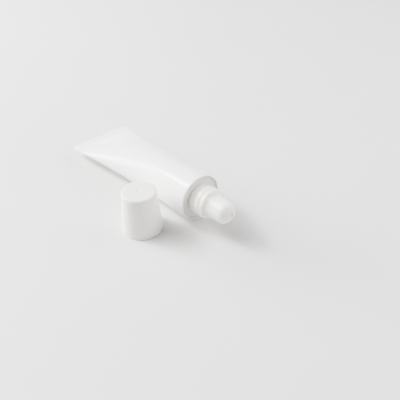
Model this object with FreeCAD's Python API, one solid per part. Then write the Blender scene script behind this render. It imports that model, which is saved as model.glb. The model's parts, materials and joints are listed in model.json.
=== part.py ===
import FreeCAD, Part

# Lip balm squeeze tube, lying on its belly, with its screw cap taken off and stood on its open
# end beside it. Millimetres, +Z up. The origin is on the floor, at the centre of the footprint.
#
#   squeeze_tube     white sleeve, round at the front and pressed flat and sealed at the tail,
#                    one solid with the balm that it holds
#   applicator_head  one moulding: shoulder disc, neck for the cap's thread, rounded tip, channel
#   screw_cap        tapered hollow cap with a gate dimple in its top
#
# The tube's own frame has its axis along X: x = 0 at the round rim, the tip at +x, the tail at -x.

import math
import os

from FreeCAD import Vector

# Sleeve
tube_dia = 19.0          # standard round end
sleeve_wall = 0.5
rim_edge = 0.35          # rounding of the sleeve's front edge
sleeve_length = 76.0     # round rim to sealed tail
seal_length = 5.0        # pressed band across the tail
seal_thickness = 0.9     # two walls welded into one
tail_swell = 0.25        # each face stands this far above the band where it meets it
fullness = 2.7           # 1 is a straight wedge; a higher power stays round for longer
section_count = 14       # cross-sections that the sleeve is drawn through
contact_share = 0.43     # where the belly meets the floor, as a share of the unsealed length
belly_press = 0.15       # the soft, filled belly lies flat on the floor by this depth

# Applicator head
shoulder_drop = 0.7      # the shoulder disc lies this far inside the sleeve's round end
shoulder_thickness = 1.5
neck_dia = 11.8          # plain cylinder, at the root of the thread
neck_root = 0.3          # hollow rounding between the shoulder and the neck
neck_length = 6.7        # rim to the neck's front edge
neck_edge = 0.5          # rounding of that edge
neck_wall = 1.4
flare_length = 3.0       # hollow curve from the neck's front edge down to the tip
tip_base_dia = 9.6       # the tip's taper carried back to the neck's front edge
tip_nose_dia = 8.8       # where the tip starts to round over
nose_length = 3.2        # rounded end
head_length = 16.8       # rim to the end of the tip
channel_dia = 1.6        # balm channel and orifice
channel_length = 3.4     # parallel stretch behind the orifice
orifice_flare = 0.35     # countersink at the orifice

# Screw cap
thread_height = 0.4      # the fine thread on the neck, which the cap's bore clears
thread_clearance = 0.15
cap_base_dia = 16.2
cap_top_dia = 13.4
cap_wall = 1.1           # around the tip's chamber
cap_top_thickness = 0.9
cap_bore_depth = 6.6     # threaded stretch behind the cap's mouth
tip_headroom = 0.4       # between the tip and the cap's inside when it is screwed down
cap_edge = 0.9           # rounding of the top edge
cap_mouth_edge = 0.25    # chamfer round the mouth, inside and out
dimple_dia = 1.9         # gate mark
dimple_depth = 0.4
cap_setback = 12.0       # the cap's axis stands this far behind the rim
cap_gap = 3.0            # floor between the tube's round end and the cap

# Drawing
quarter_pull = 0.5523    # pole distance that makes a cubic curve a quarter of an ellipse
overshoot = 1.0          # how far a cutting shape runs past the solid
halvings = 40            # steps in the search for the ellipse's width

tube_r = tube_dia / 2
neck_r = neck_dia / 2
channel_r = channel_dia / 2
seat_depth = shoulder_drop + shoulder_thickness
open_length = sleeve_length - seal_length
cap_height = head_length + tip_headroom + cap_top_thickness
cap_bore_r = neck_r + thread_height + thread_clearance

X = Vector(1, 0, 0)
Y = Vector(0, 1, 0)
Z = Vector(0, 0, 1)
O = Vector(0, 0, 0)


def half_height(share):
    """Half the sleeve's height at a share of its unsealed length, counted from the rim."""
    tail = seal_thickness / 2 + tail_swell
    return tail + (tube_r - tail) * (1 - share ** fullness)


def half_width(height):
    """Half the width of the ellipse with this half height and the round tube's girth."""
    low = tube_r
    high = math.pi * tube_r / 2
    for _ in range(halvings):
        width = (low + high) / 2
        root = math.sqrt((3 * width + height) * (width + 3 * height))
        girth = math.pi * (3 * (width + height) - root)
        if girth > 2 * math.pi * tube_r:
            high = width
        else:
            low = width
    return low


def section(share):
    """The sleeve's outline across its axis."""
    x = -share * open_length
    height = half_height(share)
    width = half_width(height)
    ellipse = Part.Ellipse(Vector(x, width, 0), Vector(x, 0, height), Vector(x, 0, 0))
    return Part.Wire(ellipse.toShape())


def on_profile(along, radius):
    return Vector(along, radius, 0)


def line(start, end):
    return Part.LineSegment(start, end).toShape()


def bezier(*points):
    curve = Part.BezierCurve()
    curve.setPoles(list(points))
    return curve.toShape()


def turned(edges, axis):
    """The solid that a closed outline makes when it turns about an axis through the origin."""
    return Part.Face(Part.Wire(edges)).revolve(O, axis, 360)


def polygon(points):
    return [line(a, b) for a, b in zip(points, points[1:] + points[:1])]


def make_squeeze_tube():
    shares = [i / (section_count - 1) for i in range(section_count)]
    sleeve = Part.makeLoft([section(share) for share in shares], True, False)
    seal_width = math.pi * tube_r
    corner = Vector(-sleeve_length, -seal_width / 2, -seal_thickness / 2)
    seal = Part.makeBox(seal_length, seal_width, seal_thickness, corner)
    seat = Part.makeCylinder(tube_r - sleeve_wall, seat_depth, Vector(-seat_depth, 0, 0), X)
    tube = sleeve.fuse(seal).cut(seat)
    front = [edge for edge in tube.Edges if edge.BoundBox.XMin > -rim_edge]
    rim = max(front, key=lambda edge: edge.BoundBox.YLength)
    return tube.makeFillet(rim_edge, [rim])


def tip_radius(x):
    """The tip's radius on its gently tapered stretch."""
    share = (x - neck_length) / (head_length - nose_length - neck_length)
    return (tip_base_dia + (tip_nose_dia - tip_base_dia) * share) / 2


def make_applicator_head():
    seat_r = tube_r - sleeve_wall
    root_x = -shoulder_drop + neck_root
    root_r = neck_r + neck_root
    root_turn = neck_root * math.sqrt(0.5)
    round_x = neck_length - neck_edge
    round_r = neck_r - neck_edge
    turn = neck_edge * math.sqrt(0.5)
    flare_end = neck_length + flare_length
    flare_mid = neck_length + flare_length / 4
    nose_start = head_length - nose_length
    nose_r = tip_radius(nose_start)

    back = on_profile(-seat_depth, 0)
    back_edge = on_profile(-seat_depth, seat_r)
    front_edge = on_profile(-shoulder_drop, seat_r)
    root_start = on_profile(-shoulder_drop, root_r)
    root_mid = on_profile(root_x - root_turn, root_r - root_turn)
    neck_foot = on_profile(root_x, neck_r)
    neck_top = on_profile(round_x, neck_r)
    neck_turn = on_profile(round_x + turn, round_r + turn)
    flare_top = on_profile(neck_length, round_r)
    flare_pole = on_profile(flare_mid, tip_radius(flare_mid))
    flare_foot = on_profile(flare_end, tip_radius(flare_end))
    nose = on_profile(nose_start, nose_r)
    nose_pole = on_profile(nose_start + quarter_pull * nose_length, nose_r)
    end_pole = on_profile(head_length, quarter_pull * nose_r)
    end = on_profile(head_length, 0)
    outline = [
        line(back, back_edge),
        line(back_edge, front_edge),
        line(front_edge, root_start),
        Part.Arc(root_start, root_mid, neck_foot).toShape(),
        line(neck_foot, neck_top),
        Part.Arc(neck_top, neck_turn, flare_top).toShape(),
        bezier(flare_top, flare_pole, flare_foot),
        line(flare_foot, nose),
        bezier(nose, nose_pole, end_pole, end),
        line(end, back),
    ]

    bore_r = neck_r - neck_wall
    throat_r = tip_radius(flare_end) - neck_wall
    bore_back = -seat_depth - overshoot
    bore_front = head_length + overshoot
    bore = polygon([
        on_profile(bore_back, 0),
        on_profile(bore_back, bore_r),
        on_profile(round_x - neck_wall, bore_r),
        on_profile(flare_end, throat_r),
        on_profile(head_length - channel_length, channel_r),
        on_profile(head_length - orifice_flare, channel_r),
        on_profile(bore_front, channel_r + orifice_flare + overshoot),
        on_profile(bore_front, 0),
    ])
    return turned(outline, X).cut(turned(bore, X))


def cap_radius(z):
    """The cap's outside radius at a height above its mouth."""
    return (cap_base_dia + (cap_top_dia - cap_base_dia) * z / cap_height) / 2


def make_screw_cap():
    outside = Part.makeCone(cap_radius(0), cap_radius(cap_height), cap_height)
    top_rim = [edge for edge in outside.Edges if edge.BoundBox.ZMin > cap_height / 2]
    outside = outside.makeFillet(cap_edge, top_rim)

    ceiling = cap_height - cap_top_thickness
    chamber_length = ceiling - cap_bore_depth
    bore = Part.makeCylinder(cap_bore_r, cap_bore_depth)
    chamber = Part.makeCone(
        cap_radius(cap_bore_depth) - cap_wall,
        cap_radius(ceiling) - cap_wall,
        chamber_length,
        Vector(0, 0, cap_bore_depth),
    )
    dimple_floor = Vector(0, 0, cap_height - dimple_depth)
    dimple = Part.makeCone(dimple_dia / 2 - dimple_depth, dimple_dia / 2, dimple_depth, dimple_floor)
    cap = outside.cut(bore.fuse(chamber)).cut(dimple)
    mouth_rims = [edge for edge in cap.Edges if edge.BoundBox.ZMax < cap_mouth_edge]
    return cap.makeChamfer(cap_mouth_edge, mouth_rims)


def lean():
    """How far the nose tips up, in degrees, when the belly touches the floor at contact_share."""
    drop = tube_r - seal_thickness / 2 - tail_swell
    slope = drop / open_length * fullness * contact_share ** (fullness - 1)
    return math.degrees(math.atan(slope))


def box_of(shapes):
    return Part.makeCompound(shapes).optimalBoundingBox(False, False)


def laid_down(tube, head):
    """Both pieces, nose up by the lean, with the belly pressed flat on the floor."""
    tube = tube.rotated(O, Y, -lean())
    head = head.rotated(O, Y, -lean())
    box = box_of([tube, head])
    corner = Vector(box.XMin, box.YMin, box.ZMin) - Vector(overshoot, overshoot, overshoot)
    length = box.XLength + 2 * overshoot
    width = box.YLength + 2 * overshoot
    under = Part.makeBox(length, width, overshoot + belly_press, corner)
    lift = Z * -(box.ZMin + belly_press)
    return tube.cut(under).translated(lift), head.translated(lift)


def main():
    tube, head = laid_down(make_squeeze_tube(), make_applicator_head())
    cap_side = tube_r + cap_gap + cap_base_dia / 2
    cap = make_screw_cap().translated(Vector(-cap_setback, -cap_side, 0))
    box = box_of([tube, head, cap])
    centre = Vector(box.Center.x, box.Center.y, 0)
    nodes = {"squeeze_tube": tube, "applicator_head": head, "screw_cap": cap}
    os.makedirs("parts", exist_ok=True)
    for name, shape in nodes.items():
        shape.translated(centre * -1).exportStep(f"parts/{name}.step")


main()
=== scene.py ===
"""Looks for the lip balm tube: white squeeze tube lying on its belly, screw cap standing beside it.

Metres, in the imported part's frame. The shapes are drawn in millimetres in the tube's own frame
(x = 0 at the round rim, the tip at +x, the tail at -x) and in the cap's (z = 0 at its mouth).
"""

import json
import math

import bpy
import numpy as np
from mathutils import Matrix, Vector

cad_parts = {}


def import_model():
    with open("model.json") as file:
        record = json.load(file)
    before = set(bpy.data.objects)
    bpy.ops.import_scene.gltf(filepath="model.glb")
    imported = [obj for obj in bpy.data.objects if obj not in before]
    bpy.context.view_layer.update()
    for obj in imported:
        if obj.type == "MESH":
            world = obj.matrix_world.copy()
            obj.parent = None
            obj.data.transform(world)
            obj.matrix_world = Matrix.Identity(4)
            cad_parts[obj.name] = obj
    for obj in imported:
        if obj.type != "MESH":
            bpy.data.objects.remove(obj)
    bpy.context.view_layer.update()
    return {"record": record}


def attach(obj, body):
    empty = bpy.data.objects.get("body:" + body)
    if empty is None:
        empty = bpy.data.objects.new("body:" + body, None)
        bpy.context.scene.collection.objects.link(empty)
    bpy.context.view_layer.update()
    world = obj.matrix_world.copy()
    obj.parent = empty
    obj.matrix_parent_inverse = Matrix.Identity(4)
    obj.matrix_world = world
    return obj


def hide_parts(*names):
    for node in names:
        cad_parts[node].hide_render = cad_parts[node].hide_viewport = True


MM = 0.001

# Sleeve
TUBE_R = 9.5
SLEEVE_WALL = 0.5
RIM_EDGE = 0.35
SLEEVE_LENGTH = 76.0
SEAL_LENGTH = 5.0
SEAL_HALF = 0.45           # half the band's thickness
TAIL_SWELL = 0.25
FULLNESS = 2.7
SEAL_CORNER = 0.7          # rounding of the band's corners, seen from above
RIB_PITCH = 0.93           # pressed lines across the band
RIB_DEPTH = 0.08
RIB_MARGIN = 0.75          # plain strip at the cut end

# Applicator head
SHOULDER_DROP = 0.7        # the shoulder disc lies this far inside the sleeve
SHOULDER_THICKNESS = 1.5
SEAT_DEPTH = SHOULDER_DROP + SHOULDER_THICKNESS
NECK_R = 5.9
NECK_ROOT = 0.3
NECK_LENGTH = 6.7
NECK_EDGE = 0.5
FLARE_LENGTH = 3.0
TIP_BASE_R = 4.8
TIP_NOSE_R = 4.4
NOSE_LENGTH = 3.2
HEAD_LENGTH = 16.8
CHANNEL_R = 0.8
CHANNEL_DEPTH = 1.3        # drawn this deep; the balm fills the rest
ORIFICE_FLARE = 0.35
BALM_CLEARANCE = 0.02

# Screw thread
THREAD_PITCH = 3.0
THREAD_HEIGHT = 0.4
NECK_THREAD_FOOT = 2.15    # width at the root: broad ridges with narrower grooves
NECK_THREAD_CREST = 1.25   # width at the top
CAP_THREAD_FOOT = 1.25     # the cap's ridges run in those grooves
CAP_THREAD_CREST = 0.45
NECK_THREAD_FIRST = 0.6    # middle of the first turn
NECK_THREAD_LAST = 7.3     # the front turn runs out where its middle reaches this
NECK_THREAD_RUN_OUT = 0.15
NECK_THREAD_EDGE = 0.25    # rounding where a ridge meets the neck's front edge

NECK_THREAD_FACES = 140    # degrees round from +Y at which a ridge's middle is
NECK_THREAD_THERE = 6.85   # this far along
CAP_THREAD_FIRST = 1.2
CAP_THREAD_LAST = 5.6
CAP_THREAD_RUN_OUT = 0.6

# Screw cap
CAP_BASE_R = 8.1
CAP_TOP_R = 6.7
CAP_WALL = 1.1
CAP_HEIGHT = 18.1
CAP_TOP_THICKNESS = 0.9
CAP_BORE_R = 6.45
CAP_BORE_DEPTH = 6.6
CAP_EDGE = 0.9
CAP_MOUTH_EDGE = 0.25
DIMPLE_R = 0.95
DIMPLE_DEPTH = 0.4
DIMPLE_LIP = 0.14          # rounding of its rim

# Drawing
QUARTER_PULL = 0.5523      # pole distance that makes a cubic curve a quarter of an ellipse
HALVINGS = 40              # steps in the search for the ellipse's width
SLEEVE_SIDES = 400         # points round each ring
HEAD_SIDES = 240
CAP_SIDES = 192
BALM_SIDES = 96
FLOOR_HALF = 0.9           # metres
FLOOR_CELLS = 24

# Camera, in metres and degrees
CAMERA_LENS = 40.16
CAMERA_SENSOR = 36.0
CAMERA_NEAR = 0.01
CAMERA_AZIMUTH = 48.25
CAMERA_ELEVATION = 38.92
CAMERA_DISTANCE = 0.19221
CAMERA_STANDS_OVER = (0.01974, 0.01508, 0)
CAMERA_LOOKS_AT = (0.02026, 0.01462, 0)

OPEN_LENGTH = SLEEVE_LENGTH - SEAL_LENGTH
THREAD_START_TURN = (NECK_THREAD_FACES - 360 * (NECK_THREAD_THERE - NECK_THREAD_FIRST) / THREAD_PITCH) / 360

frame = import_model()
mounts = {mount["name"]: mount for mount in frame["record"]["mounts"]}


# ---------------------------------------------------------------- mesh helpers

def ring_mesh(name, rings, close_start, close_end):
    """A tube of quads through rings of points, each end closed with a fan ("fan") or with quads
    across a flat end ("strip")."""
    count = len(rings[0])
    points = np.concatenate(rings)
    faces = []
    for i in range(len(rings) - 1):
        a = i * count
        b = a + count
        for j in range(count):
            k = (j + 1) % count
            faces.append((a + j, a + k, b + k, b + j))
    for where, way in ((0, close_start), (len(rings) - 1, close_end)):
        first = where * count
        if way == "fan":
            centre = len(points)
            points = np.vstack([points, rings[where].mean(axis=0)])
            for j in range(count):
                k = (j + 1) % count
                face = (first + k, first + j, centre)
                faces.append(face if where == 0 else face[::-1])
        if way == "strip":
            half = count // 2
            for j in range(half):
                across = (count - j - 1) % count, (count - j) % count
                face = (first + j, first + j + 1, first + across[0], first + across[1])
                face = tuple(dict.fromkeys(face))
                faces.append(face[::-1] if where == 0 else face)
    mesh = bpy.data.meshes.new(name)
    mesh.from_pydata([tuple(p) for p in points], [], faces)
    mesh.validate()
    return mesh


def piece(name, mesh, place, sharp_degrees, material, body, node=None):
    mesh.transform(place)
    for vertex in mesh.vertices:
        vertex.co.z = max(vertex.co.z, 0.0)  # the soft belly lies pressed flat
    mesh.shade_smooth()
    mesh.set_sharp_from_angle(angle=math.radians(sharp_degrees))
    mesh.materials.append(material)
    obj = bpy.data.objects.new(name, mesh)
    bpy.context.scene.collection.objects.link(obj)
    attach(obj, body)
    if node:
        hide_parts(node)
    return obj


def smooth(low, high, value):
    """0 below low, 1 above high, an S between."""
    t = np.clip((value - low) / (high - low), 0.0, 1.0)
    return t * t * (3 - 2 * t)


def arc(centre, radius, start, end, steps):
    """Points on an arc, angles in degrees from the first axis towards the second."""
    angles = np.radians(np.linspace(start, end, steps))
    return [(centre[0] + radius * math.cos(a), centre[1] + radius * math.sin(a)) for a in angles]


def bezier(poles, steps):
    """Points on a quadratic or cubic curve, without its first point."""
    points = []
    for t in np.linspace(0, 1, steps)[1:]:
        level = [np.array(pole) for pole in poles]
        while len(level) > 1:
            level = [a * (1 - t) + b * t for a, b in zip(level, level[1:])]
        points.append(tuple(level[0]))
    return points


def spaced(points, step):
    """The same outline with points added so that no run is longer than step."""
    out = [points[0]]
    for a, b in zip(points, points[1:]):
        runs = max(1, math.ceil(math.dist(a, b) / step))
        for k in range(1, runs + 1):
            out.append((a[0] + (b[0] - a[0]) * k / runs, a[1] + (b[1] - a[1]) * k / runs))
    return out


def thread_height(along, turn, first, last, run_out, foot, top):
    """A right-hand thread's height over its root; turn is the angle in turns."""
    phase = (along - first) / THREAD_PITCH - turn
    offset = np.abs(phase - np.round(phase)) * THREAD_PITCH
    form = 1 - smooth(top / 2, foot / 2, offset)
    crest = first + (np.round(phase) + turn) * THREAD_PITCH
    ends = smooth(first, first + run_out, crest) * smooth(-last, -last + run_out, -crest)
    return THREAD_HEIGHT * form * ends


# ---------------------------------------------------------------- sleeve

def half_height(share):
    tail = SEAL_HALF + TAIL_SWELL
    return tail + (TUBE_R - tail) * (1 - share ** FULLNESS)


def half_width(height):
    low, high = TUBE_R, math.pi * TUBE_R / 2
    for _ in range(HALVINGS):
        width = (low + high) / 2
        girth = math.pi * (3 * (width + height) - math.sqrt((3 * width + height) * (width + 3 * height)))
        low, high = (low, width) if girth > 2 * math.pi * TUBE_R else (width, high)
    return low


def sleeve_ring(x, angles):
    """One cross-section of the sleeve behind its rounded rim, at x < 0."""
    share = min(1.0, -x / OPEN_LENGTH)
    height = half_height(share)
    width = half_width(height)
    into_band = float(smooth(OPEN_LENGTH - 1.2, OPEN_LENGTH + 0.5, -x))
    height = height + (SEAL_HALF - height) * into_band
    width = width + (math.pi * TUBE_R / 2 - width) * into_band
    power = 2 + 14 * into_band ** 2
    from_end = SLEEVE_LENGTH + x
    if from_end < SEAL_CORNER:
        width -= SEAL_CORNER - math.sqrt(SEAL_CORNER ** 2 - (SEAL_CORNER - from_end) ** 2)
        height -= 0.1 * (1 - from_end / SEAL_CORNER) ** 3
    across = np.cos(angles)
    side = np.sign(np.round(np.sin(angles), 9))
    rise = (1 - np.abs(across) ** power) ** (1 / power)
    y = width * across
    ribs = 0.5 - 0.5 * np.cos(2 * math.pi * y / RIB_PITCH)
    zone = smooth(OPEN_LENGTH + 0.7, OPEN_LENGTH + 1.0, -x) * smooth(RIB_MARGIN, RIB_MARGIN + 0.3, from_end)
    rib_cut = RIB_DEPTH * ribs * zone * smooth(0.3, 0.9, width - np.abs(y))
    # Soft hand-filled unevenness of the two faces, always inwards.
    slack = smooth(8.0, 30.0, -x) * (1 - into_band) * np.abs(np.sin(angles)) ** 3
    wave = 0.5 + 0.5 * np.sin(x / 6.3 + 0.9 * np.sin(y / 5.1)) * np.cos(y / 6.0 + 0.4)
    z = side * (height * rise - rib_cut - 0.10 * slack * wave)
    return np.stack([np.full_like(y, x), y, z], axis=1)


def sleeve_mesh():
    angles = np.linspace(0, 2 * math.pi, SLEEVE_SIDES, endpoint=False)

    def circle(x, r):
        return np.stack([np.full_like(angles, x), r * np.cos(angles), r * np.sin(angles)], axis=1)

    seat_r = TUBE_R - SLEEVE_WALL
    rings = [circle(-SEAT_DEPTH, r) for r in (2.0, seat_r)]
    rings += [circle(x, seat_r) for x in (-1.5, -0.8, -0.4, -0.06)]
    rings += [circle(0, seat_r + 0.04), circle(0, TUBE_R - RIM_EDGE)]
    corner = arc((-RIM_EDGE, TUBE_R - RIM_EDGE), RIM_EDGE, 90, 0, 7)[::-1][1:]
    rings += [circle(x, r) for x, r in corner]
    body = np.linspace(-RIM_EDGE, -(OPEN_LENGTH - 1.4), 112)[1:]
    neck_down = np.linspace(-(OPEN_LENGTH - 1.4), -(OPEN_LENGTH + 0.6), 13)[1:]
    band = [-(OPEN_LENGTH + d) for d in (0.75, 0.85, 0.95, 1.1, 1.6, 2.2, 2.8, 3.4, 3.85, 4.0, 4.15, 4.3)]
    tail = [-(SLEEVE_LENGTH - SEAL_CORNER * d) for d in (0.75, 0.55, 0.35, 0.2, 0.08, 0.02, 0.0)]
    rings += [sleeve_ring(x, angles) for x in (*body, *neck_down, *band, *tail)]
    mesh = ring_mesh("sleeve", rings, "fan", "strip")
    mesh.flip_normals()
    return mesh


# ---------------------------------------------------------------- applicator head

def tip_r(x):
    share = (x - NECK_LENGTH) / (HEAD_LENGTH - NOSE_LENGTH - NECK_LENGTH)
    return TIP_BASE_R + (TIP_NOSE_R - TIP_BASE_R) * share


def turned_rings(outline, count, relief):
    """An outline (along, radius) turned about the first axis; relief adds to the radius."""
    angles = np.linspace(0, 2 * math.pi, count, endpoint=False)
    turn = angles / (2 * math.pi)
    rings = []
    for along, radius in outline:
        r = radius + relief(along, radius, turn)
        rings.append(np.stack([np.full_like(angles, along), r * np.cos(angles), r * np.sin(angles)], axis=1))
    return rings


def head_outline():
    """The moulding and the balm behind its channel, as one body that light passes through."""
    seat_r = TUBE_R - SLEEVE_WALL
    round_x = NECK_LENGTH - NECK_EDGE
    round_r = NECK_R - NECK_EDGE
    nose_start = HEAD_LENGTH - NOSE_LENGTH
    nose_r = tip_r(nose_start)
    flare_end = NECK_LENGTH + FLARE_LENGTH
    flare_mid = NECK_LENGTH + FLARE_LENGTH / 4
    front = -SHOULDER_DROP
    shoulder = [(-SEAT_DEPTH, seat_r), (front - 0.08, seat_r), (front - 0.02, seat_r - 0.03)]
    shoulder += spaced([(front, seat_r - 0.1), (front, NECK_R + NECK_ROOT)], 0.35)
    root = arc((front + NECK_ROOT, NECK_R + NECK_ROOT), NECK_ROOT, 180, 270, 9)[1:]
    neck = spaced([root[-1], (round_x, NECK_R)], 0.085)[1:]
    edge = arc((round_x, round_r), NECK_EDGE, 90, 0, 8)[1:]
    flare = bezier([(NECK_LENGTH, round_r), (flare_mid, tip_r(flare_mid)), (flare_end, tip_r(flare_end))], 16)
    taper = spaced([(flare_end, tip_r(flare_end)), (nose_start, nose_r)], 0.35)[1:]
    nose = bezier([(nose_start, nose_r), (nose_start + QUARTER_PULL * NOSE_LENGTH, nose_r),
                   (HEAD_LENGTH, QUARTER_PULL * nose_r), (HEAD_LENGTH, 0.0)], 40)
    lip_r = CHANNEL_R + ORIFICE_FLARE
    nose = [p for p in nose if p[1] > lip_r + 0.05]
    lip_x = nose[-1][0]
    lip = [(lip_x, lip_r), (lip_x - 0.05, lip_r - 0.12), (HEAD_LENGTH - ORIFICE_FLARE, CHANNEL_R)]
    channel = [(HEAD_LENGTH - CHANNEL_DEPTH, CHANNEL_R), (HEAD_LENGTH - CHANNEL_DEPTH, 0.3 * CHANNEL_R)]
    back = [(-SEAT_DEPTH, 2.0)]
    return back + shoulder + root + neck + edge + flare + taper + nose + lip + channel


def balm_mesh():
    """The balm at the front of the channel, with a hollow skin just inside the orifice."""
    skin = HEAD_LENGTH - ORIFICE_FLARE
    back = HEAD_LENGTH - CHANNEL_DEPTH + BALM_CLEARANCE
    profile = [(back, 0.3 * CHANNEL_R), (back, CHANNEL_R), (skin, CHANNEL_R)]
    profile += [(skin - drop, share * CHANNEL_R) for drop, share in ((0.06, 0.75), (0.12, 0.45), (0.14, 0.2))]
    rings = turned_rings(profile, BALM_SIDES, lambda along, radius, turn: -BALM_CLEARANCE)
    return ring_mesh("balm", rings, "fan", "fan")


def head_relief(along, radius, turn):
    """The thread's ridges, which square off the neck's rounded front edge where they reach it."""
    if radius > NECK_R + 0.01 or not 0 < along <= NECK_LENGTH:
        return 0 * turn
    height = thread_height(along, turn - THREAD_START_TURN, NECK_THREAD_FIRST, NECK_THREAD_LAST,
                           NECK_THREAD_RUN_OUT, NECK_THREAD_FOOT, NECK_THREAD_CREST)
    past_edge = max(0.0, along - NECK_LENGTH + NECK_THREAD_EDGE)
    rounding = NECK_THREAD_EDGE - math.sqrt(max(0.0, NECK_THREAD_EDGE ** 2 - past_edge ** 2))
    squared = height / THREAD_HEIGHT * (NECK_R - radius - rounding)
    return (height + squared) * smooth(-0.1, 0.25, along)


def head_mesh():
    return ring_mesh("applicator", turned_rings(head_outline(), HEAD_SIDES, head_relief), "fan", "fan")


# ---------------------------------------------------------------- screw cap

def cap_r(z):
    return CAP_BASE_R + (CAP_TOP_R - CAP_BASE_R) * z / CAP_HEIGHT


def cap_outline():
    """From the dimple in the top, down the outside, in at the mouth and up the inside."""
    slope = math.atan((CAP_BASE_R - CAP_TOP_R) / CAP_HEIGHT)
    corner_z = CAP_HEIGHT - CAP_EDGE
    corner_r = cap_r(corner_z) - CAP_EDGE * math.cos(slope)
    bowl = [share * DIMPLE_R for share in np.linspace(0.1, 0.94, 11)]
    top = [(CAP_HEIGHT - DIMPLE_DEPTH * (1 - (r / DIMPLE_R) ** 2), r) for r in bowl]
    top += [(CAP_HEIGHT - 0.018, DIMPLE_R + 0.01), (CAP_HEIGHT - 0.004, DIMPLE_R + 0.5 * DIMPLE_LIP)]
    top += spaced([(CAP_HEIGHT, DIMPLE_R + DIMPLE_LIP), (CAP_HEIGHT, corner_r)], 0.5)
    edge = [(z, r) for z, r in arc((corner_z, corner_r), CAP_EDGE, 0, 90 - math.degrees(slope), 14)][1:]
    side = spaced([edge[-1], (CAP_MOUTH_EDGE, cap_r(CAP_MOUTH_EDGE))], 0.7)[1:]
    mouth = arc((CAP_MOUTH_EDGE, cap_r(CAP_MOUTH_EDGE) - CAP_MOUTH_EDGE), CAP_MOUTH_EDGE, 90, 180, 6)[1:]
    mouth += [(0.0, CAP_BORE_R + CAP_MOUTH_EDGE), (CAP_MOUTH_EDGE, CAP_BORE_R)]
    bore = spaced([mouth[-1], (CAP_BORE_DEPTH, CAP_BORE_R)], 0.1)[1:]
    ceiling = CAP_HEIGHT - CAP_TOP_THICKNESS
    bore += [(CAP_BORE_DEPTH + 0.05, cap_r(CAP_BORE_DEPTH) - CAP_WALL)]
    chamber = spaced([bore[-1], (ceiling - 0.2, cap_r(ceiling) - CAP_WALL)], 1.0)[1:]
    top_r = cap_r(ceiling) - CAP_WALL
    chamber += [(ceiling - 0.05, top_r - 0.06), (ceiling, top_r - 0.2)]
    chamber += spaced([chamber[-1], (ceiling, 0.12)], 1.0)[1:]
    return top + edge + side + mouth + bore + chamber


def cap_relief(along, radius, turn):
    if abs(radius - CAP_BORE_R) > 0.01 or along > CAP_BORE_DEPTH - 0.1 or along < CAP_MOUTH_EDGE:
        return 0 * turn
    return -thread_height(along, turn, CAP_THREAD_FIRST, CAP_THREAD_LAST, CAP_THREAD_RUN_OUT,
                          CAP_THREAD_FOOT, CAP_THREAD_CREST)


def cap_mesh():
    """The cap's outline is turned about z, so the axes change places."""
    rings = [np.roll(ring, -1, axis=1) for ring in turned_rings(cap_outline(), CAP_SIDES, cap_relief)]
    mesh = ring_mesh("cap", rings, "fan", "fan")
    mesh.flip_normals()
    return mesh


# ---------------------------------------------------------------- materials

class Nodes:
    """A material's node tree, with the few nodes that the looks are made of."""

    def __init__(self, name):
        self.material = bpy.data.materials.new(name)
        self.material.use_nodes = True
        self.tree = self.material.node_tree
        self.shader = self.tree.nodes["Principled BSDF"]
        self.coords = self.tree.nodes.new("ShaderNodeTexCoord").outputs["Object"]

    def add(self, kind, **settings):
        node = self.tree.nodes.new(kind)
        for key, value in settings.items():
            setattr(node, key, value)
        return node

    def link(self, out, socket):
        self.tree.links.new(out, socket)

    def stretched(self, scale):
        node = self.add("ShaderNodeMapping")
        node.inputs["Scale"].default_value = scale
        self.link(self.coords, node.inputs["Vector"])
        return node.outputs["Vector"]

    def noise(self, scale, detail=2.0, rough=0.5, vector=None):
        node = self.add("ShaderNodeTexNoise")
        node.inputs["Scale"].default_value = scale
        node.inputs["Detail"].default_value = detail
        node.inputs["Roughness"].default_value = rough
        self.link(vector or self.coords, node.inputs["Vector"])
        return node.outputs["Fac"]

    def span(self, value, low, high, to_low, to_high):
        node = self.add("ShaderNodeMapRange")
        for key, number in (("From Min", low), ("From Max", high), ("To Min", to_low), ("To Max", to_high)):
            node.inputs[key].default_value = number
        self.link(value, node.inputs["Value"])
        return node.outputs["Result"]

    def math(self, operation, a, b):
        node = self.add("ShaderNodeMath", operation=operation)
        for socket, value in zip(node.inputs, (a, b)):
            if isinstance(value, (int, float)):
                socket.default_value = value
            else:
                self.link(value, socket)
        return node.outputs["Value"]

    def colours(self, value, stops):
        node = self.add("ShaderNodeValToRGB")
        ramp = node.color_ramp
        while len(ramp.elements) < len(stops):
            ramp.elements.new(0.5)
        for element, (place, colour) in zip(ramp.elements, stops):
            element.position = place
            element.color = (*colour, 1)
        self.link(value, node.inputs["Fac"])
        return node.outputs["Color"]

    def blend(self, factor, a, b):
        node = self.add("ShaderNodeMix", data_type="RGBA")
        self.link(factor, node.inputs["Factor"])
        for socket, value in ((node.inputs[6], a), (node.inputs[7], b)):
            if isinstance(value, tuple):
                socket.default_value = (*value, 1)
            else:
                self.link(value, socket)
        return node.outputs[2]

    def bumps(self, *layers):
        """Bump nodes in a row; each layer is (height, strength, distance in metres)."""
        normal = None
        for height, strength, distance in layers:
            node = self.add("ShaderNodeBump")
            node.inputs["Strength"].default_value = strength
            node.inputs["Distance"].default_value = distance
            self.link(height, node.inputs["Height"])
            if normal:
                self.link(normal, node.inputs["Normal"])
            normal = node.outputs["Normal"]
        self.link(normal, self.shader.inputs["Normal"])

    def edges(self, low, high):
        """1 along sharp outer edges, 0 on the flats."""
        node = self.add("ShaderNodeNewGeometry")
        return self.span(node.outputs["Pointiness"], low, high, 0.0, 1.0)

    def set(self, **values):
        for key, value in values.items():
            socket = self.shader.inputs[key.replace("_", " ")]
            if isinstance(value, (int, float, tuple)):
                socket.default_value = value
            else:
                self.link(value, socket)


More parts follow.
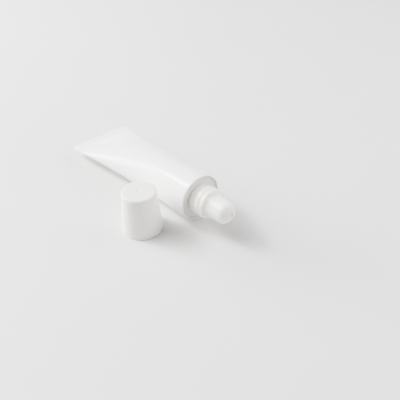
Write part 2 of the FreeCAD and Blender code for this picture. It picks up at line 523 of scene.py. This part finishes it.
def plastic(name, tints, worn, roughness, scuff, peel, **fixed):
    """Moulded plastic: cloudy tint, orange peel, fine scuffs, dust-fine specks and rubbed edges."""
    n = Nodes(name)
    clouds = n.noise(90, 3.0, 0.55)
    colour = n.colours(clouds, [(0.3, tints[0]), (0.55, tints[1]), (0.8, tints[2])])
    rubbed = n.math("MULTIPLY", n.edges(0.52, 0.60), n.span(n.noise(700, 2.0), 0.4, 0.65, 0.0, 0.6))
    specks = n.span(n.noise(2600, 1.0), 0.71, 0.76, 0.0, 0.35)
    colour = n.blend(rubbed, colour, worn)
    colour = n.blend(specks, colour, tuple(0.78 * c for c in worn))
    scuffs = n.noise(160, 4.0, 0.7, n.stretched((1.0, 7.0, 7.0)))
    smudge = n.noise(60, 2.0, 0.5)
    rough = n.span(n.math("ADD", scuffs, smudge), 0.7, 1.3, roughness - scuff, roughness + scuff)
    rough = n.math("ADD", rough, n.math("MULTIPLY", rubbed, 0.15))
    n.set(Base_Color=colour, Roughness=rough, **fixed)
    n.bumps((n.noise(520, 2.0), peel, 0.00005), (scuffs, 0.08, 0.00002), (n.noise(3200, 2.0), 0.06, 0.00001))
    return n.material


def floor_material():
    n = Nodes("white_board")
    clouds = n.noise(9, 4.0, 0.6)
    fibres = n.noise(900, 3.0, 0.6)
    base = n.colours(clouds, [(0.35, (0.693, 0.69, 0.685)), (0.65, (0.71, 0.71, 0.707))])
    flecks = n.span(fibres, 0.3, 0.7, 0.0, 0.12)
    colour = n.blend(flecks, base, (0.663, 0.659, 0.65))
    n.set(Base_Color=colour, Roughness=n.span(fibres, 0.3, 0.7, 0.55, 0.68), Specular_IOR_Level=0.35)
    n.bumps((fibres, 0.10, 0.00004))
    return n.material


sleeve_plastic = plastic(
    "sleeve_plastic",
    ((0.895, 0.895, 0.885), (0.91, 0.91, 0.902), (0.90, 0.898, 0.888)),
    (0.93, 0.93, 0.925), 0.22, 0.04, 0.06,
    Subsurface_Weight=0.12, Subsurface_Radius=(1.0, 0.95, 0.85), Subsurface_Scale=0.0012,
    Specular_IOR_Level=0.5,
)
natural_plastic = plastic(
    "natural_plastic",
    ((0.96, 0.95, 0.85), (0.965, 0.955, 0.87), (0.96, 0.945, 0.855)),
    (0.96, 0.955, 0.92), 0.24, 0.04, 0.06,
    Subsurface_Weight=1.0, Subsurface_Radius=(1.0, 0.97, 0.82), Subsurface_Scale=0.003,
    Specular_IOR_Level=0.5,
)
balm_wax = plastic(
    "balm_wax",
    ((0.93, 0.925, 0.89), (0.94, 0.935, 0.905), (0.935, 0.925, 0.88)),
    (0.95, 0.945, 0.92), 0.42, 0.06, 0.10,
    Subsurface_Weight=0.3, Subsurface_Radius=(1.0, 0.95, 0.8), Subsurface_Scale=0.001,
    Specular_IOR_Level=0.4,
)
cap_plastic = plastic(
    "cap_plastic",
    ((0.90, 0.885, 0.862), (0.912, 0.90, 0.88), (0.905, 0.888, 0.865)),
    (0.93, 0.93, 0.92), 0.26, 0.04, 0.06,
    Subsurface_Weight=0.15, Subsurface_Radius=(1.0, 0.95, 0.85), Subsurface_Scale=0.001,
    Specular_IOR_Level=0.5,
)

# ---------------------------------------------------------------- pieces in their places

neck = mounts["neck"]
ahead = Vector(neck["axis"]).normalized()
left = Vector((0, 1, 0))
up = ahead.cross(left)
neck_centre = (NECK_ROOT - SHOULDER_DROP + NECK_LENGTH - NECK_EDGE) / 2
rim_centre = Vector(neck["pos_m"]) - ahead * neck_centre * MM
tube_turn = Matrix((ahead, left, up)).transposed().to_4x4()
tube_place = Matrix.Translation(rim_centre) @ tube_turn @ Matrix.Scale(MM, 4)
mouth = Vector(mounts["cap_mouth"]["pos_m"])
cap_place = Matrix.Translation((mouth.x, mouth.y, 0)) @ Matrix.Scale(MM, 4)

piece("sleeve", sleeve_mesh(), tube_place, 40, sleeve_plastic, "tube", "squeeze_tube")
piece("applicator", head_mesh(), tube_place, 50, natural_plastic, "tube", "applicator_head")
piece("balm", balm_mesh(), tube_place, 50, balm_wax, "tube")
piece("cap", cap_mesh(), cap_place, 45, cap_plastic, "cap", "screw_cap")


# ---------------------------------------------------------------- floor, camera and lights

def floor():
    line = np.linspace(-FLOOR_HALF, FLOOR_HALF, FLOOR_CELLS + 1)
    points = [(x, y, 0.0) for y in line for x in line]
    faces = []
    for i in range(FLOOR_CELLS):
        for j in range(FLOOR_CELLS):
            a = i * (FLOOR_CELLS + 1) + j
            b = a + FLOOR_CELLS + 1
            faces.append((a, a + 1, b + 1, b))
    mesh = bpy.data.meshes.new("floor")
    mesh.from_pydata(points, [], faces)
    mesh.materials.append(floor_material())
    obj = bpy.data.objects.new("floor", mesh)
    bpy.context.scene.collection.objects.link(obj)


def back_vector(azimuth, elevation):
    """From the object towards whoever looks at it; azimuth 0 looks along +Y."""
    a, e = math.radians(azimuth), math.radians(elevation)
    return Vector((math.sin(a) * math.cos(e), -math.cos(a) * math.cos(e), math.sin(e)))


def look_from(place, target):
    return (place - target).to_track_quat("Z", "Y").to_euler()


def camera():
    data = bpy.data.cameras.new("camera")
    data.lens = CAMERA_LENS
    data.sensor_width = CAMERA_SENSOR
    data.clip_start = CAMERA_NEAR
    obj = bpy.data.objects.new("camera", data)
    bpy.context.scene.collection.objects.link(obj)
    back = back_vector(CAMERA_AZIMUTH, CAMERA_ELEVATION) * CAMERA_DISTANCE
    obj.location = Vector(CAMERA_STANDS_OVER) + back
    obj.rotation_euler = look_from(obj.location, Vector(CAMERA_LOOKS_AT))
    bpy.context.scene.camera = obj


# Name, azimuth, elevation, disk size in metres, watts, colour; each stands LIGHT_REACH away.
STUDIO = (
    ("key_high", -56, 47, 0.22, 4.7, (1.0, 1.0, 0.99)),
    ("key_side", -64, 40, 0.22, 5.2, (1.0, 1.0, 0.99)),
    ("key_glow", -52, 44, 0.80, 10.6, (1.0, 1.0, 0.99)),
    ("low_left", -69, 14, 0.36, 12.9, (1.0, 1.0, 0.97)),
    ("floor_left", -58, 9, 0.30, 6.3, (1.0, 1.0, 0.97)),
    ("top_left", -60, 66, 0.80, 7.9, (0.98, 1.0, 1.0)),
    ("back_high", 160, 40, 0.70, 7.3, (0.98, 0.97, 1.0)),
    ("back", 140, 25, 0.60, 3.0, (0.98, 0.97, 1.0)),
    ("right", 100, 12, 0.40, 2.4, (1.0, 0.8, 0.76)),
)
LIGHT_REACH = 1.0


def soft_light(name, azimuth, elevation, size, watts, colour):
    data = bpy.data.lights.new(name, "AREA")
    data.shape = "DISK"
    data.size = size
    data.energy = watts
    data.color = colour
    obj = bpy.data.objects.new(name, data)
    bpy.context.scene.collection.objects.link(obj)
    target = Vector((0.0, 0.0, 0.005))
    obj.location = target + back_vector(azimuth, elevation) * LIGHT_REACH
    obj.rotation_euler = look_from(obj.location, target)


def world(colour, strength):
    made = bpy.data.worlds.new("studio")
    made.use_nodes = True
    shade = made.node_tree.nodes["Background"]
    shade.inputs["Color"].default_value = (*colour, 1)
    shade.inputs["Strength"].default_value = strength
    bpy.context.scene.world = made


floor()
camera()
for light in STUDIO:
    soft_light(*light)
world((1.0, 0.84, 0.76), 0.016)
bpy.context.scene.view_settings.view_transform = "AgX"
bpy.context.scene.view_settings.look = "AgX - Medium High Contrast"
